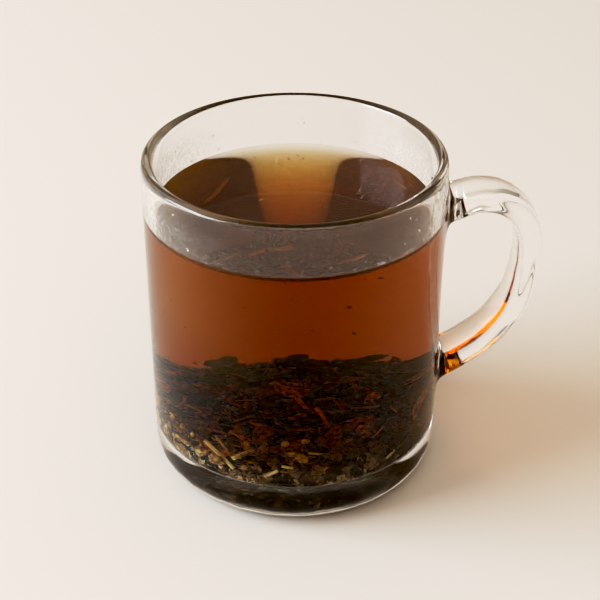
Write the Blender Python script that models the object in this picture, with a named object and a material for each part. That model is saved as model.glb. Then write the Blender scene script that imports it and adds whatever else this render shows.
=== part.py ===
"""Clear glass mug of loose-leaf herbal tea.

Three solids in metres, +Z up: the pressed glass mug with its strap handle in one piece, the bed of sunk
leaves, stems and seeds on the glass floor, and the tea that fills the mug from the bed up to its level.
The origin is the centre of the mug's foot, on the surface that it stands on. The handle points to +X.
"""

import math
import random

import bmesh
import bpy
from mathutils import Matrix, Vector, geometry
from mathutils.bvhtree import BVHTree
from mathutils.kdtree import KDTree

MM = 0.001

# Glass mug
HEIGHT = 92.3 * MM
RIM_RADIUS = 40.0 * MM
BASE_RADIUS = 39.4 * MM
WALL = 3.2 * MM
LIP_THICKNESS = 3.4 * MM
FLOOR_LEVEL = 11.4 * MM
HEEL_RADIUS = 8.5 * MM
INNER_CORNER = 3.0 * MM
FOOT_RADIUS = 31.5 * MM
FOOT_RING = 27.5 * MM

# Cage of the mug: sides of its turned shape, and how often the cage is subdivided
CAGE_SIDES = 30
CAGE_LEVELS = 1

# Handle: a flattened strap whose ends spread where they join the wall
HANDLE_WIDTH = 13.0 * MM
HANDLE_THICKNESS = 7.2 * MM
HANDLE_SQUARENESS = 0.92
HANDLE_FLARE_WIDTH = 0.6 * MM
HANDLE_FLARE_THICKNESS = 0.9 * MM
HANDLE_FLARE_REACH = 0.08
HANDLE_STATIONS = 12
HANDLE_ROUTE = (  # distance from the mug's axis, height, in millimetres
    (43.2, 76.6),
    (48.6, 78.5),
    (56.2, 76.9),
    (61.9, 70.6),
    (63.1, 59.6),
    (60.7, 47.2),
    (54.2, 36.8),
    (43.6, 28.6),
)
UPPER_ROOT = (81.0 * MM, 76.8 * MM, 72.8 * MM)
LOWER_ROOT = (31.6 * MM, 27.4 * MM, 23.2 * MM)
WAIST_HEIGHT = 51.5 * MM
ABOVE_HEEL = 14.0 * MM

# Tea
TEA_LEVEL = 76.8 * MM
MENISCUS_RISE = 1.3 * MM
MENISCUS_LENGTH = 2.4 * MM
GAP = 0.3 * MM
TEA_SIDES = 40
TEA_SURFACE_RADII = (12.0, 24.0, 30.5, 33.0, 34.8)  # millimetres, where the surface is ringed
TEA_UNDERSIDE_RINGS = 10

# Bed of sunk leaves
BED_THICKNESS = 6.0 * MM
BED_SWELL = 1.3 * MM
BED_SIDES = 32
BED_RINGS = 8
BED_MARGIN = 0.7 * MM
LEAF_COUNT = 50
STEM_COUNT = 20
SEED_COUNT = 7
LEAF_LENGTHS = (5.0 * MM, 11.0 * MM)
STEM_LENGTHS = (5.0 * MM, 13.0 * MM)
SEED_RADII = (0.9 * MM, 1.25 * MM)
LEAF_THICKNESS = 0.7 * MM
STEM_RADIUS = 0.55 * MM
BED_SEED = 11


def clear_scene():
    """Removes whatever the scene holds."""
    for thing in list(bpy.data.objects):
        bpy.data.objects.remove(thing)


def make_material(name, colour, roughness, clearness=0.0, bend=1.45):
    """A Principled material; clearness is its transmission and bend its index of refraction."""
    material = bpy.data.materials.new(name)
    material.use_nodes = True
    shader = material.node_tree.nodes["Principled BSDF"]
    shader.inputs["Base Color"].default_value = (*colour, 1.0)
    shader.inputs["Roughness"].default_value = roughness
    shader.inputs["Metallic"].default_value = 0.0
    shader.inputs["Transmission Weight"].default_value = clearness
    shader.inputs["IOR"].default_value = bend
    material.diffuse_color = (*colour, 1.0)
    return material


def link_mesh(name, shape, material):
    """A named object from a bmesh, which is freed."""
    mesh = bpy.data.meshes.new(name)
    shape.to_mesh(mesh)
    shape.free()
    mesh.materials.append(material)
    made = bpy.data.objects.new(name, mesh)
    bpy.context.scene.collection.objects.link(made)
    return made


def outer_radius(height):
    """The wall's outer radius, which grows slightly from the foot to the rim."""
    return BASE_RADIUS + (RIM_RADIUS - BASE_RADIUS) * height / HEIGHT


def inner_radius(height):
    """The radius of the bore at a height."""
    return outer_radius(height) - WALL


def ring_growth(sides):
    """How much larger a cage ring is drawn, as subdividing draws its corners in."""
    return 3.0 / (2.0 + math.cos(2.0 * math.pi / sides))


def arc_point(centre_radius, centre_height, radius, degrees):
    """A cage corner on an arc of the profile, set out so that the subdivided arc has the radius."""
    reach = radius * ring_growth(8)
    angle = math.radians(degrees)
    return centre_radius + reach * math.cos(angle), centre_height + reach * math.sin(angle)


def mug_profile():
    """The mug's section from the middle of its floor over the lip to the middle of its underside."""
    lip = LIP_THICKNESS / 2
    lip_centre = (RIM_RADIUS - lip, HEIGHT - lip)
    corner_centre = inner_radius(FLOOR_LEVEL) - INNER_CORNER, FLOOR_LEVEL + INNER_CORNER
    heel_centre = BASE_RADIUS - HEEL_RADIUS, HEEL_RADIUS
    inside = [
        (0.0, FLOOR_LEVEL),
        (inner_radius(0) * 0.45, FLOOR_LEVEL),
        (corner_centre[0] - INNER_CORNER / 3, FLOOR_LEVEL),
        arc_point(*corner_centre, INNER_CORNER, -45),
        (inner_radius(FLOOR_LEVEL), FLOOR_LEVEL + 1.3 * INNER_CORNER),
        (inner_radius(HEIGHT * 0.65), HEIGHT * 0.65),
        (lip_centre[0] - lip, lip_centre[1]),
    ]
    top = [arc_point(*lip_centre, lip, degrees) for degrees in (135, 90, 45)]
    wall_heights = [lip_centre[1], *UPPER_ROOT, WAIST_HEIGHT, *LOWER_ROOT, ABOVE_HEEL, HEEL_RADIUS]
    outside = [(outer_radius(height), height) for height in wall_heights]
    under = [
        arc_point(*heel_centre, HEEL_RADIUS, -45),
        (FOOT_RADIUS, 0.0),
        (FOOT_RING, 0.0),
        (0.0, 0.0),
    ]
    return inside + top + outside + under


def turned(profile, sides):
    """A closed bmesh made by turning a profile, whose ends lie on the axis, round Z."""
    shape = bmesh.new()
    corners = [shape.verts.new((radius, 0.0, height)) for radius, height in profile]
    edges = [shape.edges.new(pair) for pair in zip(corners, corners[1:])]
    bmesh.ops.spin(
        shape,
        geom=corners + edges,
        axis=(0, 0, 1),
        cent=(0, 0, 0),
        angle=2.0 * math.pi,
        steps=sides,
        use_merge=True,
    )
    bmesh.ops.remove_doubles(shape, verts=shape.verts, dist=0.00001)
    bmesh.ops.recalc_face_normals(shape, faces=shape.faces)
    return shape


def smooth_route(knots, steps):
    """Points along a smooth curve through the knots, spaced evenly by its parameter."""
    knots = [Vector(knot) for knot in knots]
    ends = [knots[0] * 2 - knots[1], *knots, knots[-1] * 2 - knots[-2]]
    found = []
    for before, start, end, after in zip(ends, ends[1:], ends[2:], ends[3:]):
        piece = geometry.interpolate_bezier(
            start, start + (end - before) / 6, end - (after - start) / 6, end, 17
        )
        found += piece if not found else piece[1:]
    picked = [found[round(index * (len(found) - 1) / (steps - 1))] for index in range(steps)]
    return picked


def drawn_out(points):
    """Moves inner points away from the curve's centres, as subdividing will draw them back."""
    moved = [point.copy() for point in points]
    for index in range(1, len(points) - 1):
        bend = points[index - 1] - 2 * points[index] + points[index + 1]
        moved[index] -= bend / 6
    return moved


def strap_section(centre, along, width, thickness):
    """Eight cage corners of the strap round a centre in the handle's plane (X out, Z up)."""
    across = Vector((0.0, 1.0, 0.0))
    normal = across.cross(along).normalized()
    spread = 3.0 / (2.0 + HANDLE_SQUARENESS)
    half_width, half_thickness = spread * width / 2, spread * thickness / 2
    corner = HANDLE_SQUARENESS
    steps = (
        (0, 1),
        (corner, corner),
        (1, 0),
        (corner, -corner),
        (0, -1),
        (-corner, -corner),
        (-1, 0),
        (-corner, corner),
    )
    return [centre + across * (half_width * s) + normal * (half_thickness * t) for s, t in steps]


def strap_loops(shape):
    """The strap's closed loops of edges, from the upper root to the lower."""
    route = [Vector((out, 0.0, up)) * MM for out, up in HANDLE_ROUTE]
    centres = drawn_out(smooth_route(route, HANDLE_STATIONS))
    loops = []
    for index, centre in enumerate(centres):
        before, after = centres[max(index - 1, 0)], centres[min(index + 1, len(centres) - 1)]
        along = (after - before).normalized()
        if index == 0:
            along = Vector((1.0, 0.0, 0.12)).normalized()
        if index == len(centres) - 1:
            along = Vector((-1.0, 0.0, -0.3)).normalized()
        share = index / (len(centres) - 1)
        flare = math.exp(-((min(share, 1 - share) / HANDLE_FLARE_REACH) ** 2))
        section = strap_section(
            centre,
            along,
            HANDLE_WIDTH + HANDLE_FLARE_WIDTH * flare,
            HANDLE_THICKNESS + HANDLE_FLARE_THICKNESS * flare,
        )
        corners = [shape.verts.new(corner) for corner in section]
        loops.append([shape.edges.new(pair) for pair in zip(corners, corners[1:] + corners[:1])])
    return loops


def opened_root(shape, heights):
    """Cuts the two by two cage faces behind a handle root and returns the edges round the hole."""
    top, bottom = max(heights), min(heights)
    reach = 2.0 * math.pi / CAGE_SIDES * 1.01
    cut = [
        face
        for face in shape.faces
        if bottom < face.calc_center_median().z < top
        and abs(math.atan2(face.calc_center_median().y, face.calc_center_median().x)) < reach
        and Vector(face.calc_center_median()[:2]).length > inner_radius(top) + WALL / 2
    ]
    rim = [
        edge
        for edge in {edge for face in cut for edge in face.edges}
        if sum(face in cut for face in edge.link_faces) == 1
    ]
    bmesh.ops.delete(shape, geom=cut, context="FACES")
    return [edge for edge in rim if edge.is_valid]


def mug_cage():
    """The whole mug as one closed cage: the turned body bridged to the strap at both roots."""
    growth = ring_growth(CAGE_SIDES)
    profile = [(radius * growth, height) for radius, height in mug_profile()]
    shape = turned(profile, CAGE_SIDES)
    upper, lower = opened_root(shape, UPPER_ROOT), opened_root(shape, LOWER_ROOT)
    loops = strap_loops(shape)
    for first, second in [(upper, loops[0]), *zip(loops, loops[1:]), (loops[-1], lower)]:
        bmesh.ops.bridge_loops(shape, edges=first + second)
    bmesh.ops.recalc_face_normals(shape, faces=shape.faces)
    return shape


def make_mug(material):
    """The glass mug: its cage with a Subdivision Surface modifier."""
    mug = link_mesh("mug", mug_cage(), material)
    rounding = mug.modifiers.new("rounding", "SUBSURF")
    rounding.levels = CAGE_LEVELS
    rounding.render_levels = CAGE_LEVELS
    mug.data.shade_smooth()
    return mug


def bed_height(x, y):
    """Height of the bare bed of leaves at a point, with swells and dips the size of its leaves."""
    broad = math.sin(95.0 * x + 0.6) * math.cos(80.0 * y - 0.4)
    medium = math.sin(310.0 * x + 210.0 * y) + math.cos(260.0 * y - 330.0 * x + 1.1)
    fine = math.sin(720.0 * x - 150.0 * y) * math.cos(640.0 * y + 1.7)
    relief = 0.5 * broad + 0.22 * medium + 0.25 * fine
    return FLOOR_LEVEL + BED_THICKNESS + BED_SWELL * relief


def bed_core():
    """The bed without its loose pieces: a disc on the glass floor whose top swells and dips."""
    reach = inner_radius(FLOOR_LEVEL) - BED_MARGIN
    corner = INNER_CORNER + BED_MARGIN
    rings = [reach * index / BED_RINGS for index in range(BED_RINGS + 1)]
    top = [(radius, FLOOR_LEVEL + BED_THICKNESS) for radius in rings]
    side = [(reach, FLOOR_LEVEL + corner), (reach - corner * 0.4, FLOOR_LEVEL + corner * 0.4)]
    under = [(reach - corner, FLOOR_LEVEL + 1.5 * GAP), (0.0, FLOOR_LEVEL + 1.5 * GAP)]
    shape = turned(top + side + under, BED_SIDES)
    for corner_point in shape.verts:
        if corner_point.co.z > FLOOR_LEVEL + BED_THICKNESS - GAP / 10:
            corner_point.co.z = bed_height(corner_point.co.x, corner_point.co.y)
    bmesh.ops.triangulate(shape, faces=shape.faces)
    return shape


def leaf_blade(draw):
    """A curled scrap of leaf: a pointed slab a few tenths of a millimetre thick."""
    length = draw.uniform(*LEAF_LENGTHS)
    width = length * draw.uniform(0.28, 0.5)
    curl = draw.uniform(-0.5, 0.5) * width
    outline = ((-0.5, 0.0), (-0.2, 0.42), (0.22, 0.5), (0.5, 0.0), (0.15, -0.5), (-0.28, -0.38))
    shape = bmesh.new()
    corners = [
        shape.verts.new((length * s, width * t, curl * 4 * (s * s) - LEAF_THICKNESS / 2))
        for s, t in outline
    ]
    face = shape.faces.new(corners)
    lifted = bmesh.ops.extrude_face_region(shape, geom=[face])
    raised = [item for item in lifted["geom"] if isinstance(item, bmesh.types.BMVert)]
    bmesh.ops.translate(shape, verts=raised, vec=(0, 0, LEAF_THICKNESS))
    return shape


def stem_stick(draw):
    """A cut stem: a short six-sided stick."""
    shape = bmesh.new()
    bmesh.ops.create_cone(
        shape,
        cap_ends=True,
        segments=6,
        radius1=STEM_RADIUS,
        radius2=STEM_RADIUS * draw.uniform(0.6, 1.0),
        depth=draw.uniform(*STEM_LENGTHS),
        matrix=Matrix.Rotation(math.pi / 2, 4, "Y"),
    )
    return shape


def seed_ball(draw):
    """A round seed with few sides."""
    shape = bmesh.new()
    bmesh.ops.create_icosphere(shape, subdivisions=1, radius=draw.uniform(*SEED_RADII))
    return shape


def kept_in_bore(shape):
    """Moves a piece in from the glass wall, and up from the glass floor, when it would reach them."""
    reach = inner_radius(FLOOR_LEVEL) - BED_MARGIN
    for _ in range(4):
        outermost = max(shape.verts, key=lambda corner: Vector(corner.co[:2]).length)
        across = Vector((outermost.co.x, outermost.co.y, 0.0))
        if across.length > reach:
            inward = across.normalized() * (reach - across.length)
            bmesh.ops.translate(shape, verts=shape.verts, vec=inward)
    lowest = min(corner.co.z for corner in shape.verts)
    floor = FLOOR_LEVEL + INNER_CORNER
    if lowest < floor:
        bmesh.ops.translate(shape, verts=shape.verts, vec=(0, 0, floor - lowest))


def loose_pieces():
    """The leaves, stems and seeds that lie on the bed, each a bmesh in its place."""
    draw = random.Random(BED_SEED)
    kinds = [leaf_blade] * LEAF_COUNT + [stem_stick] * STEM_COUNT + [seed_ball] * SEED_COUNT
    draw.shuffle(kinds)
    reach = inner_radius(FLOOR_LEVEL) - 3.0 * MM
    golden_turn = math.pi * (3.0 - math.sqrt(5.0))
    for index, kind in enumerate(kinds):
        radius = reach * math.sqrt((index + 0.5) / len(kinds))
        angle = index * golden_turn + draw.uniform(-0.3, 0.3)
        x, y = radius * math.cos(angle), radius * math.sin(angle)
        shape = kind(draw)
        tilt = Matrix.Rotation(draw.uniform(-0.45, 0.45), 4, "X")
        pitch = Matrix.Rotation(draw.uniform(-0.35, 0.35), 4, "Y")
        turn = Matrix.Rotation(draw.uniform(0, 2 * math.pi), 4, "Z")
        height = bed_height(x, y) + draw.uniform(-0.1, 0.4) * MM
        place = Matrix.Translation((x, y, height)) @ turn @ pitch @ tilt
        bmesh.ops.transform(shape, matrix=place, verts=shape.verts)
        kept_in_bore(shape)
        bmesh.ops.triangulate(shape, faces=shape.faces)
        bmesh.ops.recalc_face_normals(shape, faces=shape.faces)
        yield shape


def joined(thing, pieces):
    """Unions the pieces' collection into the object and removes the pieces."""
    group = bpy.data.collections.new("pieces of " + thing.name)
    bpy.context.scene.collection.children.link(group)
    for index, shape in enumerate(pieces):
        piece = link_mesh(f"piece_{index:03d}", shape, thing.data.materials[0])
        bpy.context.scene.collection.objects.unlink(piece)
        group.objects.link(piece)
    union = thing.modifiers.new("union", "BOOLEAN")
    union.operation = "UNION"
    union.operand_type = "COLLECTION"
    union.collection = group
    union.solver = "MANIFOLD"
    bpy.context.view_layer.update()
    graph = bpy.context.evaluated_depsgraph_get()
    fused = bpy.data.meshes.new_from_object(thing.evaluated_get(graph), depsgraph=graph)
    thing.modifiers.clear()
    thing.data = fused
    for piece in list(group.objects):
        bpy.data.objects.remove(piece)
    bpy.data.collections.remove(group)


def without_scraps(thing):
    """Keeps the largest closed body of a mesh, so that no loose scrap or sealed hollow stays."""
    shape = bmesh.new()
    shape.from_mesh(thing.data)
    bmesh.ops.remove_doubles(shape, verts=shape.verts, dist=0.000001)
    waiting = set(shape.faces)
    bodies = []
    while waiting:
        edge_of_search = [waiting.pop()]
        body = list(edge_of_search)
        while edge_of_search:
            face = edge_of_search.pop()
            near = {other for edge in face.edges for other in edge.link_faces} & waiting
            waiting -= near
            edge_of_search += near
            body += near
        bodies.append(body)
    bodies.sort(key=len)
    scraps = [face for body in bodies[:-1] for face in body]
    bmesh.ops.delete(shape, geom=scraps, context="FACES")
    bmesh.ops.triangulate(shape, faces=shape.faces)
    shape.to_mesh(thing.data)
    shape.free()


def make_bed(material):
    """The bed of leaves: its core with the loose pieces fused on."""
    bed = link_mesh("leaf_bed", bed_core(), material)
    joined(bed, loose_pieces())
    without_scraps(bed)
    return bed


def skin_points(thing):
    """Points over a mesh: its corners, and more along its long edges."""
    points = [corner.co.copy() for corner in thing.data.vertices]
    for edge in thing.data.edges:
        start, end = (thing.data.vertices[index].co for index in edge.vertices)
        steps = int((end - start).length / (2 * GAP))
        points += [start.lerp(end, (step + 1) / (steps + 1)) for step in range(steps)]
    return points


def flat_tree(points):
    """A tree that finds the points by their place seen from above."""
    tree = KDTree(len(points))
    for index, point in enumerate(points):
        tree.insert((point.x, point.y, 0.0), index)
    tree.balance()
    return tree


def meniscus_height(radius, wall_radius):
    """Height of the tea's surface: level in the middle and drawn up where it meets the glass."""
    return TEA_LEVEL + MENISCUS_RISE * math.exp((radius - wall_radius) / MENISCUS_LENGTH)


def tea_cage():
    """The tea as a turned shape whose underside still lies level at the height of the bare bed."""
    wall_radius = inner_radius(TEA_LEVEL) - GAP
    seam = FLOOR_LEVEL + BED_THICKNESS
    foot_radius = inner_radius(seam) - BED_MARGIN
    surface = [(0.0, TEA_LEVEL)]
    surface += [(radius * MM, meniscus_height(radius * MM, wall_radius)) for radius in TEA_SURFACE_RADII]
    surface += [(wall_radius, TEA_LEVEL + MENISCUS_RISE)]
    rings = [foot_radius * index / TEA_UNDERSIDE_RINGS for index in range(TEA_UNDERSIDE_RINGS + 1)]
    return turned(surface + [(radius, seam) for radius in reversed(rings)], TEA_SIDES), foot_radius


def make_tea(material, bed):
    """The tea: level above, drawn up at the wall, and fitted over the bed of leaves."""
    bed_skin = BVHTree.FromObject(bed, bpy.context.evaluated_depsgraph_get())
    points = skin_points(bed)
    tree = flat_tree(points)
    shape, foot_radius = tea_cage()
    for corner in shape.verts:
        if corner.co.z > FLOOR_LEVEL + BED_THICKNESS + GAP:
            continue
        side_step = 2.0 * math.pi * Vector(corner.co[:2]).length / TEA_SIDES
        reach = math.hypot(foot_radius / TEA_UNDERSIDE_RINGS, side_step)
        near = tree.find_range((corner.co.x, corner.co.y, 0.0), reach)
        heights = [points[index].z for _, index, _ in near]
        below = bed_skin.ray_cast(Vector((corner.co.x, corner.co.y, HEIGHT)), Vector((0, 0, -1)))[0]
        if below:
            heights.append(below.z)
        corner.co.z = max(heights) + GAP
    bmesh.ops.triangulate(shape, faces=shape.faces)
    return link_mesh("tea", shape, material)


def main():
    """Builds the mug, the bed of leaves and the tea."""
    clear_scene()
    glass = make_material("clear glass", (0.95, 0.96, 0.95), 0.02, clearness=1.0, bend=1.52)
    leaf = make_material("soaked leaves", (0.12, 0.075, 0.035), 0.6)
    amber = make_material("amber tea", (0.42, 0.13, 0.02), 0.02, clearness=0.85, bend=1.333)
    make_mug(glass)
    bed = make_bed(leaf)
    make_tea(amber, bed)


main()
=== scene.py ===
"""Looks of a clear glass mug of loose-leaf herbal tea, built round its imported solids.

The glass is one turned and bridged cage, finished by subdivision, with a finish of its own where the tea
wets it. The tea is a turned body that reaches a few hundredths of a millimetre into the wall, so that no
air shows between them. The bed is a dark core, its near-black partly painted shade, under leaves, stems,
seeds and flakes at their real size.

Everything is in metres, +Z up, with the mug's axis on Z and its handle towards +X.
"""

from __future__ import annotations

import logging
import math
import random
from dataclasses import dataclass, field
from enum import Enum, IntEnum
from typing import Sequence

import bmesh
import bpy
from mathutils import Matrix, Quaternion, Vector, geometry, noise

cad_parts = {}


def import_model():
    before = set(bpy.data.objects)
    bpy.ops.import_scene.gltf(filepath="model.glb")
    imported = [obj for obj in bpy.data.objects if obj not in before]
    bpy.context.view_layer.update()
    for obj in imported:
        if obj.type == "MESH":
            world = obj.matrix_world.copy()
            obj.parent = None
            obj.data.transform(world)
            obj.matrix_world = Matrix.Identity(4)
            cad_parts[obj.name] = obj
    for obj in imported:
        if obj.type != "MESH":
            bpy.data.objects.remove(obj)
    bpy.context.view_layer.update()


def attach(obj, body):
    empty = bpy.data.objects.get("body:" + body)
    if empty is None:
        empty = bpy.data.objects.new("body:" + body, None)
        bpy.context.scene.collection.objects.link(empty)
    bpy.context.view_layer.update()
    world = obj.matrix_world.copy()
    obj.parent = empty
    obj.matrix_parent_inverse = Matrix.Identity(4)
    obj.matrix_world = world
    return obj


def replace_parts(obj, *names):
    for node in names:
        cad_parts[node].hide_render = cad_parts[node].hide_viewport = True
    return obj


MM = 0.001
GLASS_INDEX = 1.52
TEA_INDEX = 1.322
BODY = "root"
log = logging.getLogger("herbal_tea")

Point = tuple[float, float]
Colour = tuple[float, float, float]


# Shader building


class Term:
    """One output socket of a material's nodes, with Python's operators as Math nodes."""

    def __init__(self, sheet: "NodeSheet", socket: bpy.types.NodeSocket) -> None:
        """Keeps the node tree and the socket.

        Args:
            sheet: the node tree that the socket is in.
            socket: the output socket.
        """
        self.sheet = sheet
        self.socket = socket

    def _math(self, operation: str, *values: "Term | float") -> "Term":
        """A Math node over the values.

        Args:
            operation: the Math node's operation.
            values: its inputs in order.

        Returns:
            The node's output.
        """
        inputs = dict(enumerate(values))
        return self.sheet.node("ShaderNodeMath", {"operation": operation}, inputs)

    def __add__(self, other: "Term | float") -> "Term":
        """The sum."""
        return self._math("ADD", self, other)

    def __radd__(self, other: float) -> "Term":
        """The sum, with the number first."""
        return self._math("ADD", other, self)

    def __rsub__(self, other: float) -> "Term":
        """The difference, with the number first."""
        return self._math("SUBTRACT", other, self)

    def __mul__(self, other: "Term | float") -> "Term":
        """The product."""
        return self._math("MULTIPLY", self, other)

    def __rmul__(self, other: float) -> "Term":
        """The product, with the number first."""
        return self._math("MULTIPLY", other, self)

    def size(self) -> "Term":
        """The value without its sign."""
        return self._math("ABSOLUTE", self)

    def over(self, low: float, high: float) -> "Term":
        """How far the value has risen from low to high, from 0 to 1, with soft ends.

        Args:
            low: the value that gives 0.
            high: the value that gives 1.

        Returns:
            The share risen.
        """
        settings = {"interpolation_type": "SMOOTHSTEP"}
        inputs = {"Value": self, "From Min": low, "From Max": high}
        return self.sheet.node("ShaderNodeMapRange", settings, inputs)


class NodeSheet:
    """A node tree under construction."""

    def __init__(self, tree: bpy.types.NodeTree) -> None:
        """Clears the tree.

        Args:
            tree: the node tree of a material or a world.
        """
        self.tree = tree
        tree.nodes.clear()

    def node(
        self,
        kind: str,
        settings: dict[str, object] | None = None,
        inputs: dict[str | int, object] | None = None,
        output: str | int = 0,
    ) -> Term:
        """Adds a node.

        Args:
            kind: the node's type.
            settings: its settings, such as operation, which are set first.
            inputs: the values or links of its sockets, by name or by place.
            output: the output that is returned.

        Returns:
            The node's output.
        """
        made = self.tree.nodes.new(kind)
        for name, value in (settings or {}).items():
            setattr(made, name, value)
        for name, value in (inputs or {}).items():
            if isinstance(value, Term):
                self.tree.links.new(value.socket, made.inputs[name])
            else:
                made.inputs[name].default_value = value
        return Term(self, made.outputs[output])

    def output(self, links: dict[str, Term], kind: str = "Material") -> None:
        """Adds the output node.

        Args:
            links: what goes to its Surface and Volume.
            kind: Material or World.
        """
        made = self.tree.nodes.new(f"ShaderNodeOutput{kind}")
        for name, term in links.items():
            self.tree.links.new(term.socket, made.inputs[name])

    def place(self) -> Term:
        """The point's place on the object, in metres."""
        return self.node("ShaderNodeTexCoord", output="Object")

    def along(self, axis: str) -> Term:
        """How far the point lies along the object's X, Y or Z, in metres."""
        return self.node("ShaderNodeSeparateXYZ", None, {"Vector": self.place()}, axis)

    def noise(self, size: float, detail: float = 3.0, where: Term | None = None) -> Term:
        """Soft cloudy noise.

        Args:
            size: the size of its patches, in metres.
            detail: how many finer layers it has.
            where: the coordinates; the place on the object if left out.

        Returns:
            The noise, around 0.5.
        """
        inputs = {"Vector": where or self.place(), "Scale": 1.0 / size, "Detail": detail}
        return self.node("ShaderNodeTexNoise", None, inputs, "Fac")

    def attribute(self, name: str, output: str) -> Term:
        """A mesh attribute's value.

        Args:
            name: the attribute's name.
            output: Color or Vector.

        Returns:
            The attribute.
        """
        return self.node("ShaderNodeAttribute", {"attribute_name": name}, None, output)

    def mixed(self, first: Term | Colour, second: Term | Colour, share: Term | float) -> Term:
        """A mix of two colours.

        Args:
            first: the colour where share is 0.
            second: the colour where share is 1.
            share: the share of the second.

        Returns:
            The mixed colour.
        """
        sides = [side if isinstance(side, Term) else (*side, 1.0) for side in (first, second)]
        inputs = {0: share, 6: sides[0], 7: sides[1]}
        return self.node("ShaderNodeMix", {"data_type": "RGBA"}, inputs, 2)

    def bump(self, height: Term, depth: float) -> Term:
        """A bumped normal.

        Args:
            height: the height, from 0 to 1.
            depth: how far a height of 1 stands out, in metres.

        Returns:
            The normal.
        """
        return self.node("ShaderNodeBump", None, {"Strength": 1.0, "Distance": depth, "Height": height})


def new_material(name: str) -> tuple[bpy.types.Material, NodeSheet]:
    """An empty material.

    Args:
        name: its name.

    Returns:
        The material and its node sheet.
    """
    material = bpy.data.materials.new(name)
    material.use_nodes = True
    return material, NodeSheet(material.node_tree)


@dataclass(frozen=True)
class ClearFinish:
    """A clear medium's boundary, and what it absorbs.

    A matte veil of painted light may cover it. Its share is even, or grows over the side zone with the
    distance from the plane X = 0 and ends over the side end. It comes in from the first of its two heights to
    the second, upwards or downwards. A painted shade darkens the heights of the edge zone, and fades out
    towards +Y over its fade zone. Slow waves lift it, and die out upwards over wave_zone.
    """

    name: str
    index: float
    gloss: float = 1.0
    roughness: float = 0.0
    absorbs: Colour | None = None
    density: float = 0.0
    # A matte veil of painted light: its colour, shares, side zones, heights and grain.
    painted_light_colour: Colour = (1.0, 1.0, 1.0)
    painted_light_share: float = 0.0
    painted_side_light_share: float = 0.0
    painted_side_zone: Point = (4.0 * MM, 32.0 * MM)
    painted_side_end: Point | None = None
    painted_light_heights: Point | None = None
    painted_light_grain: float = 0.0
    # Painted shade: its colour, heights, softness and fade towards +Y.
    painted_shade_colour: Colour = (0.03, 0.015, 0.01)
    painted_shade_zone: Point | None = None
    painted_shade_soft: float = 0.15 * MM
    painted_shade_fade: Point = (-5.0 * MM, 25.0 * MM)
    waves: float = 0.0
    wave_size: float = 7.0 * MM
    wave_zone: Point | None = None

    def material(self) -> bpy.types.Material:
        """The finish as a material.

        Returns:
            The material.
        """
        made, sheet = new_material(self.name)
        surface = {
            "Base Color": self._colour(sheet),
            "Roughness": self.roughness,
            "IOR": self.index,
            "Transmission Weight": 1.0,
            "Specular Tint": (self.gloss, self.gloss, self.gloss, 1.0),
        }
        if self.waves:
            surface["Normal"] = sheet.bump(self._swell(sheet), self.waves)
        links = {"Surface": sheet.node("ShaderNodeBsdfPrincipled", None, surface)}
        # The matte veil mixed in here is painted light.
        if self.painted_light_share or self.painted_side_light_share:
            painted_light_inputs = {"Base Color": (*self.painted_light_colour, 1.0), "Roughness": 1.0, "Specular IOR Level": 0.0}
            painted_light_bsdf = sheet.node("ShaderNodeBsdfPrincipled", None, painted_light_inputs)
            shares = {0: self._painted_light_mask(sheet), 1: links["Surface"], 2: painted_light_bsdf}
            links["Surface"] = sheet.node("ShaderNodeMixShader", None, shares)
        if self.absorbs:
            inside = {"Color": (*self.absorbs, 1.0), "Density": self.density}
            links["Volume"] = sheet.node("ShaderNodeVolumeAbsorption", None, inside)
        sheet.output(links)
        return made

    def _painted_light_mask(self, sheet: NodeSheet) -> "Term | float":
        """The share of the painted light veil at each point.

        Args:
            sheet: the material's node sheet.

        Returns:
            The share, a plain number where it is the same all over.
        """
        if not self.painted_side_light_share:
            return self.painted_light_share
        across = sheet.along("X").size()
        sides = across.over(*self.painted_side_zone)
        if self.painted_side_end:
            sides = sides * (1.0 - across.over(*self.painted_side_end))
        share = self.painted_light_share + self.painted_side_light_share * sides
        if self.painted_light_heights:
            share = share * sheet.along("Z").over(*self.painted_light_heights)
        if self.painted_light_grain:
            share = share * (0.35 + sheet.noise(self.painted_light_grain, 2.0).over(0.35, 0.7))
        return share

    def _swell(self, sheet: NodeSheet) -> Term:
        """The slow waves of pressed glass.

        Args:
            sheet: the material's node sheet.

        Returns:
            The height of the waves, from 0 to 1.
        """
        swell = sheet.noise(self.wave_size, 1.0)
        return swell * (1.0 - sheet.along("Z").over(*self.wave_zone)) if self.wave_zone else swell

    def _colour(self, sheet: NodeSheet) -> "Term | tuple[float, ...]":
        """White, with a painted shade in the edge zone.

        Args:
            sheet: the material's node sheet.

        Returns:
            The colour.
        """
        if not self.painted_shade_zone:
            return (1.0, 1.0, 1.0, 1.0)
        low, high = self.painted_shade_zone
        height, soft = sheet.along("Z"), self.painted_shade_soft
        share = height.over(low - soft, low + soft) * (1.0 - height.over(high - soft, high + soft))
        near = 1.0 - sheet.along("Y").over(*self.painted_shade_fade)
        return sheet.mixed((1.0, 1.0, 1.0), self.painted_shade_colour, share * near)


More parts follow.
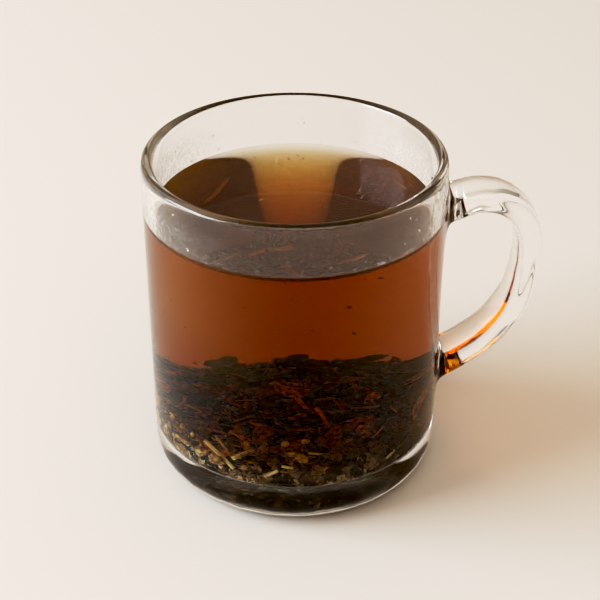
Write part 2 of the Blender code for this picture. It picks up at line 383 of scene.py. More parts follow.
@dataclass(frozen=True)
class PlantFinish:
    """Soaked leaf, stem or seed.

    Its colour is the piece's tint attribute, darkened by mottling and by fibres that follow the grain
    attribute, which holds each scrap's own coordinates, along it first.
    """

    name: str
    mottle: float = 0.55
    mottle_size: float = 1.4 * MM
    fibre: float = 0.35
    fibre_width: float = 0.35 * MM
    fibre_length: float = 5.0 * MM
    relief: float = 0.10 * MM
    roughness: float = 0.5
    shade: Colour = (0.012, 0.007, 0.003)

    def material(self) -> bpy.types.Material:
        """The finish as a material.

        Returns:
            The material.
        """
        made, sheet = new_material(self.name)
        tint = sheet.attribute("tint", "Color")
        grain = sheet.attribute("grain", "Vector")
        stretch = (self.fibre_width / self.fibre_length, 1.0, 1.0)
        along = sheet.node("ShaderNodeVectorMath", {"operation": "MULTIPLY"}, {0: grain, 1: stretch})
        fibres = sheet.noise(self.fibre_width, 2.0, along)
        patches = sheet.noise(self.mottle_size, 3.0, grain)
        mottled = self.mottle * (1.0 - patches.over(0.36, 0.62))
        darkness = mottled + self.fibre * (1.0 - fibres.over(0.35, 0.6))
        surface = {
            "Base Color": sheet.mixed(tint, self.shade, darkness),
            "Roughness": self.roughness,
            "IOR": 1.4,
            "Specular IOR Level": 0.2,
            "Normal": sheet.bump(fibres + patches, self.relief),
        }
        sheet.output({"Surface": sheet.node("ShaderNodeBsdfPrincipled", None, surface)})
        return made


# Mesh helpers


def ring_growth(sides: int) -> float:
    """How much larger a cage ring is drawn, as subdividing draws its corners in.

    Args:
        sides: how many corners the ring has.

    Returns:
        The factor.
    """
    return 3.0 / (2.0 + math.cos(2.0 * math.pi / sides))


def arc(centre: Point, radius: float, start: float, end: float, steps: int) -> list[Point]:
    """Cage corners along an arc of a profile, set out so that the subdivided arc has the radius.

    Args:
        centre: distance from the axis, and height.
        radius: the arc's radius.
        start: first angle in degrees, 0 pointing away from the axis.
        end: last angle in degrees.
        steps: how many stretches the arc has.

    Returns:
        The corners, both ends among them.
    """
    turn = math.radians(end - start) / steps
    reach = radius * 3.0 / (2.0 + math.cos(turn))
    found = []
    for index in range(steps + 1):
        angle = math.radians(start) + turn * index
        grown = radius if index in (0, steps) else reach
        found.append((centre[0] + grown * math.cos(angle), centre[1] + grown * math.sin(angle)))
    return found


def turned(profile: Sequence[Point], sides: int) -> bmesh.types.BMesh:
    """A closed cage made by turning a profile, whose ends lie on the axis, round Z.

    Args:
        profile: distance from the axis and height of each corner.
        sides: how many sides the cage has.

    Returns:
        The cage, facing outwards.
    """
    growth = ring_growth(sides)
    shape = bmesh.new()
    corners = [shape.verts.new((radius * growth, 0.0, height)) for radius, height in profile]
    edges = [shape.edges.new(pair) for pair in zip(corners, corners[1:])]
    bmesh.ops.spin(
        shape,
        geom=corners + edges,
        axis=(0, 0, 1),
        cent=(0, 0, 0),
        angle=2.0 * math.pi,
        steps=sides,
        use_merge=True,
    )
    bmesh.ops.remove_doubles(shape, verts=shape.verts, dist=0.001 * MM)
    bmesh.ops.recalc_face_normals(shape, faces=shape.faces)
    return shape


def made_piece(
    name: str,
    shape: bmesh.types.BMesh,
    materials: Sequence[bpy.types.Material],
    levels: int = 0,
) -> bpy.types.Object:
    """Links a finished mesh as a piece that rides on the body.

    Args:
        name: the piece's name.
        shape: its mesh, which is freed.
        materials: its materials in slot order.
        levels: how often it is subdivided.

    Returns:
        The piece.
    """
    mesh = bpy.data.meshes.new(name)
    shape.to_mesh(mesh)
    shape.free()
    for material in materials:
        mesh.materials.append(material)
    mesh.shade_smooth()
    piece = bpy.data.objects.new(name, mesh)
    bpy.context.scene.collection.objects.link(piece)
    if levels:
        rounding = piece.modifiers.new("rounding", "SUBSURF")
        rounding.levels = levels
        rounding.render_levels = levels
    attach(piece, BODY)
    log.info("%s: %d faces before rounding", name, len(mesh.polygons))
    return piece


# The glass


class Surface(IntEnum):
    """The mug's finishes, in the order of its material slots."""

    LIP = 0
    WETTED = 1
    OUTER = 2
    PRESSED = 3
    # The dry inner wall, veiled with painted light.
    MISTED = 4


@dataclass
class GlassMug:
    """The pressed glass mug with its strap handle.

    The handle's route gives the distance from the axis and the height of each knot, in millimetres. The
    roots are the rings of the wall that the strap grows out of, and it runs as root_start and root_end there.
    """

    height: float = 92.3 * MM
    rim_radius: float = 40.0 * MM
    base_radius: float = 39.4 * MM
    wall: float = 3.2 * MM
    lip_thickness: float = 3.4 * MM
    floor_level: float = 11.4 * MM
    heel_radius: float = 8.5 * MM
    inner_corner: float = 3.0 * MM
    contact_height: float = 77.5 * MM
    contact_spacing: float = 6.0 * MM
    foot_ring: float = 27.5 * MM
    push_up: float = 2.8 * MM
    sides: int = 36
    levels: int = 3
    handle_width: float = 13.0 * MM
    handle_thickness: float = 7.2 * MM
    handle_squareness: float = 0.92
    flare_width: float = 0.4 * MM
    flare_thickness: float = 0.6 * MM
    flare_reach: float = 0.06
    handle_stations: int = 14
    handle_route: tuple[Point, ...] = (
        (42.0, 76.5),
        (48.6, 78.5),
        (56.2, 76.9),
        (61.9, 70.6),
        (63.1, 59.6),
        (60.7, 47.2),
        (54.2, 36.8),
        (42.4, 27.9),
    )
    upper_root: tuple[float, ...] = (81.0 * MM, 76.8 * MM, 72.8 * MM)
    lower_root: tuple[float, ...] = (31.6 * MM, 27.4 * MM, 23.2 * MM)
    waist_height: float = 51.5 * MM
    above_heel: float = 14.0 * MM
    root_start: tuple[float, float, float] = (1.0, 0.0, 0.12)
    root_end: tuple[float, float, float] = (-1.0, 0.0, -0.3)
    lip: ClearFinish = ClearFinish("clear_glass", GLASS_INDEX)
    pressed: ClearFinish = ClearFinish(
        "pressed_glass",
        GLASS_INDEX,
        gloss=0.8,
        waves=0.22 * MM,
        wave_size=10.0 * MM,
    )
    # Its amber veil is painted glow of light scattered in the cloudy tea, rising from 34 to 62 mm and towards
    # the sides.
    wetted: ClearFinish = ClearFinish(
        "glass_under_tea",
        GLASS_INDEX / TEA_INDEX,
        gloss=0.3,
        painted_light_colour=(0.95, 0.50, 0.08),
        painted_light_share=0.024,
        painted_side_light_share=0.095,
        painted_side_end=(31.0 * MM, 36.5 * MM),
        painted_light_heights=(34.0 * MM, 62.0 * MM),
        # Its dark band at the tea's line is painted shade.
        painted_shade_zone=(76.4 * MM, 77.35 * MM),
    )
    # A pale matte veil of painted light on the dry inner wall, growing towards the sides, full below 82.5 mm,
    # gone by 89.5 mm.
    dry_inside_painted_light: ClearFinish = ClearFinish(
        "dry_wall_painted_light",
        GLASS_INDEX,
        gloss=0.6,
        painted_light_colour=(0.82, 0.74, 0.66),
        painted_light_share=0.004,
        painted_side_light_share=0.28,
        painted_side_zone=(14.0 * MM, 35.0 * MM),
        painted_light_heights=(89.5 * MM, 82.5 * MM),
        painted_light_grain=1.1 * MM,
    )
    # Its tint over the heel is painted shade on the light refracted there, fading out towards the back.
    outer: ClearFinish = ClearFinish(
        "clear_wall",
        GLASS_INDEX,
        gloss=0.6,
        painted_shade_colour=(0.46, 0.41, 0.36),
        painted_shade_zone=(4.5 * MM, 12.5 * MM),
        painted_shade_soft=1.5 * MM,
        waves=0.5 * MM,
        wave_zone=(5.0 * MM, 13.0 * MM),
    )

    def outer_radius(self, height: float) -> float:
        """The wall's outer radius at a height."""
        return self.base_radius + (self.rim_radius - self.base_radius) * height / self.height

    def inner_radius(self, height: float) -> float:
        """The radius of the bore at a height, above the rounded corner of its floor."""
        return self.outer_radius(height) - self.wall

    def bore_radius(self, height: float) -> float:
        """The radius of the bore at a height, its rounded corner included."""
        straight = self.inner_radius(height)
        drop = self.floor_level + self.inner_corner - height
        if drop <= 0:
            return straight
        drop = min(drop, self.inner_corner)
        return straight - self.inner_corner + math.sqrt(self.inner_corner**2 - drop**2)

    def bore_profile(self, into_glass: float = 0.0) -> list[Point]:
        """Cage corners from the middle of the floor up the bore to the tea's line on the wall.

        Args:
            into_glass: how far the profile is moved out of the bore, into the glass.

        Returns:
            The corners, the tea's line last.
        """
        bottom = self.floor_level
        radius = self.inner_radius(bottom)
        centre = (radius - self.inner_corner, bottom + self.inner_corner)
        profile = [(0.0, bottom - into_glass)]
        profile += [(radius * share, bottom - into_glass) for share in (0.35, 0.7, 0.84)]
        profile += arc(centre, self.inner_corner + into_glass, -90, 0, 4)
        for height in (bottom * 1.6, self.height * 0.5, self.contact_height - self.contact_spacing):
            profile.append((self.inner_radius(height) + into_glass, height))
        profile.append((self.inner_radius(self.contact_height) + into_glass, self.contact_height))
        return profile

    def section(self) -> list[Point]:
        """The whole section, from the middle of the floor over the lip to the middle of the underside.

        Returns:
            The corners.
        """
        lip = self.lip_thickness / 2
        lip_centre = (self.rim_radius - lip, self.height - lip)
        above = self.contact_height + self.contact_spacing
        heel_centre = (self.base_radius - self.heel_radius, self.heel_radius)
        heights = [*self.upper_root, self.waist_height, *self.lower_root, self.above_heel]
        corners = self.bore_profile()
        corners += [(self.inner_radius(above), above)]
        corners += arc(lip_centre, lip, 180, 0, 4)
        corners += [(self.outer_radius(height), height) for height in heights]
        corners += arc(heel_centre, self.heel_radius, 0, -90, 4)
        corners += [(self.foot_ring, 0.0)]
        corners += [self._under(share) for share in (0.94, 0.75, 0.5, 0.25, 0.0)]
        return corners

    def _under(self, share: float) -> Point:
        """A corner of the hollow underside, at a share of the foot ring's radius."""
        return self.foot_ring * share, self.push_up * (1.0 - share**2)

    def build(self) -> bpy.types.Object:
        """Builds the mug.

        Returns:
            The piece.
        """
        shape = turned(self.section(), self.sides)
        self._mark_surfaces(shape)
        upper, lower = (self._opened(shape, root) for root in (self.upper_root, self.lower_root))
        loops = self._strap_loops(shape)
        for first, second in [(upper, loops[0]), *zip(loops, loops[1:]), (loops[-1], lower)]:
            for face in bmesh.ops.bridge_loops(shape, edges=first + second)["faces"]:
                face.material_index = Surface.PRESSED
        bmesh.ops.recalc_face_normals(shape, faces=shape.faces)
        finishes = {
            Surface.LIP: self.lip,
            Surface.WETTED: self.wetted,
            Surface.OUTER: self.outer,
            Surface.PRESSED: self.pressed,
            Surface.MISTED: self.dry_inside_painted_light,
        }
        materials = [finishes[surface].material() for surface in Surface]
        piece = made_piece("glass_mug", shape, materials, self.levels)
        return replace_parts(piece, "mug")

    def _mark_surfaces(self, shape: bmesh.types.BMesh) -> None:
        """Gives each face the finish of its place on the glass.

        Args:
            shape: the turned cage.
        """
        middle = self.wall / 2
        for face in shape.faces:
            centre = face.calc_center_median()
            radius = math.hypot(centre.x, centre.y)
            inside = radius < (self.outer_radius(centre.z) - middle) * ring_growth(self.sides)
            if inside and self.floor_level * 0.9 < centre.z < self.contact_height:
                face.material_index = Surface.WETTED
            elif radius < self.foot_ring and centre.z < self.floor_level:
                face.material_index = Surface.PRESSED
            elif centre.z < self.height - self.lip_thickness / 2:
                face.material_index = Surface.MISTED if inside else Surface.OUTER

    def _opened(self, shape: bmesh.types.BMesh, heights: Sequence[float]) -> list[bmesh.types.BMEdge]:
        """Cuts the two by two cage faces behind a handle root.

        Args:
            shape: the turned cage.
            heights: the root's rings, from the top down.

        Returns:
            The edges round the hole.
        """
        reach = 1.01 * 2.0 * math.pi / self.sides
        cut = set()
        for face in shape.faces:
            centre = face.calc_center_median()
            outside = math.hypot(centre.x, centre.y) > self.inner_radius(centre.z) + self.wall / 2
            facing = abs(math.atan2(centre.y, centre.x)) < reach
            if outside and facing and min(heights) < centre.z < max(heights):
                cut.add(face)
        edges = {edge for face in cut for edge in face.edges}
        rim = [edge for edge in edges if sum(face in cut for face in edge.link_faces) == 1]
        bmesh.ops.delete(shape, geom=list(cut), context="FACES")
        return [edge for edge in rim if edge.is_valid]

    def _strap_loops(self, shape: bmesh.types.BMesh) -> list[list[bmesh.types.BMEdge]]:
        """The strap's closed loops of edges, from the upper root to the lower.

        Args:
            shape: the cage that they are added to.

        Returns:
            The loops.
        """
        centres = drawn_out(smooth_route(self.handle_route, self.handle_stations))
        last = len(centres) - 1
        loops = []
        for index, centre in enumerate(centres):
            along = (centres[min(index + 1, last)] - centres[max(index - 1, 0)]).normalized()
            if index == 0:
                along = Vector(self.root_start).normalized()
            if index == last:
                along = Vector(self.root_end).normalized()
            share = min(index, last - index) / last
            flare = math.exp(-((share / self.flare_reach) ** 2))
            corners = [shape.verts.new(corner) for corner in self._strap_section(centre, along, flare)]
            loops.append([shape.edges.new(pair) for pair in zip(corners, corners[1:] + corners[:1])])
        return loops

    def _strap_section(self, centre: Vector, along: Vector, flare: float) -> list[Vector]:
        """Eight cage corners round the strap.

        Args:
            centre: the strap's middle.
            along: the way that it runs.
            flare: how much of the flare at its roots it has here, from 0 to 1.

        Returns:
            The corners.
        """
        across = Vector((0.0, 1.0, 0.0))
        normal = across.cross(along).normalized()
        corner = self.handle_squareness
        spread = 3.0 / (2.0 + corner) / 2.0
        half_width = across * spread * (self.handle_width + self.flare_width * flare)
        half_depth = normal * spread * (self.handle_thickness + self.flare_thickness * flare)
        quarter = [(0.0, 1.0), (corner, corner), (1.0, 0.0), (corner, -corner)]
        steps = quarter + [(-s, -t) for s, t in quarter]
        return [centre + half_width * s + half_depth * t for s, t in steps]


def smooth_route(knots: Sequence[Point], steps: int) -> list[Vector]:
    """Points along a smooth curve through the handle's knots.

    Args:
        knots: distance from the axis and height of each, in millimetres.
        steps: how many points are wanted.

    Returns:
        The points, in metres.
    """
    places = [Vector((out, 0.0, up)) * MM for out, up in knots]
    ends = [places[0] * 2 - places[1], *places, places[-1] * 2 - places[-2]]
    found: list[Vector] = []
    for before, start, end, after in zip(ends, ends[1:], ends[2:], ends[3:]):
        pull = start + (end - before) / 6
        push = end - (after - start) / 6
        piece = geometry.interpolate_bezier(start, pull, push, end, 17)
        found += piece if not found else piece[1:]
    return [found[round(index * (len(found) - 1) / (steps - 1))] for index in range(steps)]


def drawn_out(points: Sequence[Vector]) -> list[Vector]:
    """The points with the inner ones moved out of the curve, as subdividing will draw them back.

    Args:
        points: the route's points.

    Returns:
        The moved points.
    """
    moved = [point.copy() for point in points]
    for index in range(1, len(points) - 1):
        moved[index] -= (points[index - 1] - 2 * points[index] + points[index + 1]) / 6
    return moved


# The tea


@dataclass
class Tea:
    """The drink, from the glass floor up to its level, with the rise where it wets the wall.

    Its colour is in a body that bends no light. A thin skin over it bends light as water does, above, and
    lets it through unbent below.
    """

    mug: GlassMug
    level: float = 76.7 * MM
    rise_length: float = 2.0 * MM
    into_glass: float = 0.06 * MM
    skin: float = 0.12 * MM
    skin_depth: float = 0.108 * MM
    ring_gaps: tuple[float, ...] = (0.25, 0.6, 1.05, 1.6, 2.4, 3.5, 5.2, 8.0, 13.0, 22.0)
    # The surface's amber matte veil is painted glow.
    surface: ClearFinish = ClearFinish(
        "tea_surface", TEA_INDEX, roughness=0.05, painted_light_colour=(0.85, 0.40, 0.25), painted_light_share=0.065
    )
    underside: ClearFinish = ClearFinish("tea_surface_below", 1.0)
    body: ClearFinish = ClearFinish("tea_body", 1.0, absorbs=(0.828, 0.62, 0.07), density=130.0)

    def surface_height(self, radius: float) -> float:
        """Height of the surface at a distance from the axis."""
        wall = self.mug.inner_radius(self.mug.contact_height)
        rise = self.mug.contact_height - self.level
        return self.level + rise * math.exp((radius - wall) / self.rise_length)

    def surface_profile(self, drop: float) -> list[Point]:
        """Cage corners of the surface from the wall to the axis.

        Args:
            drop: how far below the surface they lie.

        Returns:
            The corners, without the one on the wall.
        """
        wall = self.mug.inner_radius(self.mug.contact_height)
        radii = [wall - gap * MM for gap in self.ring_gaps]
        heights = [self.surface_height(radius) - drop for radius in radii]
        return list(zip(radii, heights)) + [(0.0, self.level - drop)]

    def build(self) -> list[bpy.types.Object]:
        """Builds the tea.

        Returns:
            The body and its skin.
        """
        side = self.mug.bore_profile(self.into_glass)
        edge = side.pop()
        edge = (edge[0], edge[1] - self.skin)
        body_shape = turned([*side, edge, *self.surface_profile(self.skin)], self.mug.sides)
        self._crease_rings(body_shape, (edge[1],))
        body = made_piece("tea_body", body_shape, [self.body.material()], self.mug.levels)
        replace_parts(body, "tea")
        rim = (edge[0], self.mug.contact_height)
        low_rim = (rim[0], rim[1] - self.skin_depth)
        above, below = self.surface_profile(0.0), self.surface_profile(self.skin_depth)
        skin_shape = turned([*below[::-1], low_rim, rim, *above], self.mug.sides)
        self._crease_rings(skin_shape, (rim[1], low_rim[1]))
        for face in skin_shape.faces:
            face.material_index = int(face.normal.z < 0.02)
        finishes = [self.surface.material(), self.underside.material()]
        skin = made_piece("tea_surface", skin_shape, finishes, self.mug.levels)
        return [body, skin]

    @staticmethod
    def _crease_rings(shape: bmesh.types.BMesh, heights: Sequence[float]) -> None:
        """Keeps rings of a cage sharp.

        Args:
            shape: the cage.
            heights: the rings' heights.
        """
        crease = shape.edges.layers.float.new("crease_edge")
        for edge in shape.edges:
            for height in heights:
                if all(abs(corner.co.z - height) < 0.0005 * MM for corner in edge.verts):
                    edge[crease] = 1.0


# The bed of leaves


class Scrap(Enum):
    """The kinds of small things in the bed."""

    LEAF = "leaf"
    FLAKE = "flake"
    CRUMB = "crumb"
    STEM = "stem"
    SEED = "seed"


BLACKISH = (0.020, 0.013, 0.008)
DARK_BROWN = (0.060, 0.034, 0.016)
BROWN = (0.290, 0.150, 0.058)
RUST = (0.520, 0.235, 0.080)
OLIVE = (0.250, 0.160, 0.060)
DULL_OLIVE = (0.125, 0.074, 0.030)
FAINT_RUST = (0.230, 0.095, 0.036)
# Dark brown warmed by painted light, for the far laid leaves.
PAINTED_WARM_DARK_BROWN = (0.110, 0.042, 0.016)
TAN = (0.640, 0.440, 0.210)
STRAW = (0.930, 0.720, 0.330)


@dataclass(frozen=True)
class Mix:
    """How many of one kind of scrap there are, and the colours that it is drawn from with their weights."""

    count: int
    colours: tuple[Colour, ...]
    weights: tuple[float, ...]
    finish: PlantFinish
    spread: float = 0.55

    def draw(self, chance: random.Random) -> Colour:
        """A colour for one scrap.

        Args:
            chance: where the random numbers come from.

        Returns:
            The colour.
        """
        base = chance.choices(self.colours, self.weights)[0]
        light = 1.0 + chance.uniform(-self.spread, self.spread)
        return tuple(min(1.0, part * light) for part in base)


@dataclass(frozen=True)
class Laid:
    """One scrap that the photograph shows plainly: its ends, width and colour, in millimetres."""

    kind: Scrap
    start: tuple[float, float, float]
    end: tuple[float, float, float]
    width: float
    tint: Colour
    roll: float = 1.2
    bend: float = 0.3
    upright: float = 0.2


# Scraps of the bed that the photograph shows plainly

LAID = (
    Laid(Scrap.STEM, (-23.5, -20.7, 19.3), (-18.1, -31.0, 16.3), 1.50, STRAW),
    Laid(Scrap.STEM, (-17.9, -29.6, 19.0), (-11.8, -24.5, 19.2), 1.70, STRAW),
    Laid(Scrap.STEM, (-10.7, -34.4, 15.8), (-7.2, -35.0, 17.9), 1.20, STRAW),
    Laid(Scrap.STEM, (-6.0, -33.4, 18.6), (-3.2, -34.2, 18.2), 1.05, STRAW),
    Laid(Scrap.STEM, (-19.4, -18.1, 19.2), (-18.6, -24.9, 18.9), 0.80, TAN),
    Laid(Scrap.STEM, (1.1, -26.3, 19.0), (6.4, -27.9, 18.8), 0.85, STRAW),
    Laid(Scrap.STEM, (21.0, -29.0, 15.6), (23.4, -27.3, 17.0), 0.95, TAN),
    Laid(Scrap.STEM, (2.7, -35.7, 15.8), (5.3, -34.5, 18.2), 0.85, TAN),
    Laid(Scrap.STEM, (16.7, -19.4, 18.8), (18.7, -14.4, 19.0), 0.50, TAN),
    Laid(Scrap.STEM, (11.0, 0.7, 19.3), (16.5, 0.0, 19.3), 0.80, TAN),
    Laid(Scrap.STEM, (1.2, 8.4, 20.0), (2.8, 0.5, 19.4), 1.10, STRAW),
    Laid(Scrap.STEM, (4.4, 1.2, 20.0), (6.1, -8.6, 19.2), 1.20, STRAW),
    Laid(Scrap.STEM, (-13.0, -6.0, 19.4), (-8.4, -2.4, 19.6), 0.80, TAN),
    Laid(Scrap.LEAF, (18.7, -1.1, 19.2), (20.7, -6.6, 19.2), 1.60, STRAW, 1.0, 0.5, 0.6),
    Laid(Scrap.LEAF, (-29.4, -6.6, 19.0), (-30.4, -14.4, 18.4), 1.70, STRAW, 1.4, 0.4, 0.5),
    Laid(Scrap.LEAF, (-27.4, -22.6, 17.2), (-25.5, -25.0, 16.4), 2.00, TAN, 0.8, 0.2, 0.6),
    Laid(Scrap.LEAF, (-13.6, -22.4, 21.8), (-13.3, -22.6, 18.0), 2.60, RUST, 1.0, 0.3, 1.0),
    Laid(Scrap.LEAF, (-17.6, -23.0, 21.4), (-16.9, -23.6, 17.6), 3.60, DULL_OLIVE, 1.5, 0.5, 1.0),
    Laid(Scrap.LEAF, (3.6, -21.8, 19.2), (6.4, -16.2, 19.6), 2.40, BROWN, 1.9, 0.3, 0.5),
    Laid(Scrap.LEAF, (12.3, -13.7, 19.2), (15.5, -14.6, 19.4), 2.80, TAN, 0.9, 0.4, 0.8),
    Laid(Scrap.LEAF, (13.4, 2.8, 19.4), (15.8, 7.0, 20.2), 2.60, STRAW, 1.2, 0.8, 0.5),
    Laid(Scrap.LEAF, (25.9, -15.4, 18.6), (26.2, 2.0, 20.2), 2.60, TAN, 1.6, 0.8, 0.6),
    Laid(Scrap.LEAF, (9.4, -8.0, 19.4), (17.0, -8.5, 19.4), 1.60, RUST, 1.6, 0.3, 0.5),
    Laid(Scrap.LEAF, (-1.6, 20.0, 20.4), (2.2, 9.6, 19.4), 5.50, STRAW, 0.6, 0.3, 0.1),
    Laid(Scrap.LEAF, (6.4, 17.0, 20.4), (13.0, 20.0, 20.0), 4.20, TAN, 0.8, 0.3, 0.2),
    Laid(Scrap.LEAF, (-10.6, -21.6, 18.8), (-6.6, -10.4, 19.4), 4.40, BROWN, 1.1, 0.4, 0.2),
    Laid(Scrap.LEAF, (-2.3, -26.0, 19.0), (0.6, -31.0, 18.4), 2.60, TAN, 0.8, 0.2, 0.4),
    Laid(Scrap.LEAF, (4.1, -35.6, 16.9), (9.2, -34.8, 14.1), 1.40, DARK_BROWN, 0.8, 0.2, 0.8),
    Laid(Scrap.LEAF, (20.1, 10.8, 19.4), (24.4, 16.5, 20.6), 2.40, TAN, 1.4, 0.4, 0.4),
    # These four far leaves are dark brown with painted warm light.
    Laid(Scrap.LEAF, (-9.6, 33.6, 17.6), (-5.2, 35.0, 20.6), 3.40, PAINTED_WARM_DARK_BROWN, 0.7, 0.5, 1.0),
    Laid(Scrap.LEAF, (-0.4, 34.4, 18.4), (5.0, 34.8, 21.9), 3.40, PAINTED_WARM_DARK_BROWN, 0.6, 0.8, 1.0),
    Laid(Scrap.LEAF, (3.6, 34.2, 19.4), (8.4, 34.0, 18.4), 3.60, PAINTED_WARM_DARK_BROWN, 0.9, 0.4, 1.0),
    Laid(Scrap.LEAF, (8.8, 34.2, 19.0), (15.8, 32.2, 20.9), 2.20, PAINTED_WARM_DARK_BROWN, 0.5, 0.5, 1.0),
    Laid(Scrap.SEED, (-26.4, -17.8, 18.8), (-26.6, -18.2, 20.2), 1.30, STRAW),
    Laid(Scrap.SEED, (-4.4, -21.4, 19.6), (-3.4, -21.5, 19.8), 1.80, STRAW),
    Laid(Scrap.SEED, (-3.3, -27.0, 19.2), (-2.5, -27.2, 19.2), 1.70, TAN),
    Laid(Scrap.SEED, (0.4, -19.6, 19.5), (1.2, -19.7, 19.5), 1.50, STRAW),
    Laid(Scrap.SEED, (-27.6, -12.0, 18.6), (-27.9, -12.8, 18.7), 1.70, TAN),
)

# Scraps just under the surface

FLOATING = (
    Laid(Scrap.LEAF, (-23.4, -27.2, 75.4), (-15.6, -20.2, 74.4), 1.00, FAINT_RUST, 0.8, 0.7, 0.0),
    Laid(Scrap.LEAF, (-12.9, -21.4, 73.7), (-8.6, -17.4, 73.2), 1.60, FAINT_RUST, 0.8, 0.9, 0.0),
    Laid(Scrap.LEAF, (-9.2, -17.8, 73.4), (-1.6, -17.2, 72.6), 1.70, FAINT_RUST, 0.8, 0.9, 0.0),
    Laid(Scrap.LEAF, (7.4, -27.2, 73.3), (16.8, -21.9, 72.9), 1.30, FAINT_RUST, 0.8, 0.7, 0.0),
    Laid(Scrap.LEAF, (-24.0, 9.4, 68.6), (-16.4, 25.6, 67.2), 1.30, FAINT_RUST, 0.8, 0.6, 0.0),
    Laid(Scrap.LEAF, (28.2, 17.0, 73.5), (31.4, 10.0, 73.8), 1.00, FAINT_RUST, 0.8, 0.4, 0.0),
    Laid(Scrap.LEAF, (-9.2, 4.8, 75.9), (-8.0, 6.0, 75.9), 0.90, RUST, 0.8, 0.4, 0.0),
)

# Specks on the wall: angle about the axis in degrees, and height in millimetres

SPECKS = (
    (-150.2, 61.4),
    (-150.9, 56.3),
    (-142.1, 55.8),
    (-132.3, 55.2),
    (-101.1, 62.4),
    (-88.1, 62.2),
    (-71.6, 56.3),
    (-56.5, 60.3),
    (-44.0, 67.3),
    (-34.3, 52.3),
)
# Rises of the bed: the middle, the height and the reach of each, in millimetres

HEAPS = (
    ((-7.2, 33.6), 2.4, 3.2),
    ((3.0, 34.2), 3.2, 3.4),
    ((9.4, 33.8), 1.9, 2.6),
    ((14.4, 31.8), 2.3, 3.2),
    ((-22.0, 26.0), 0.8, 6.0),
)


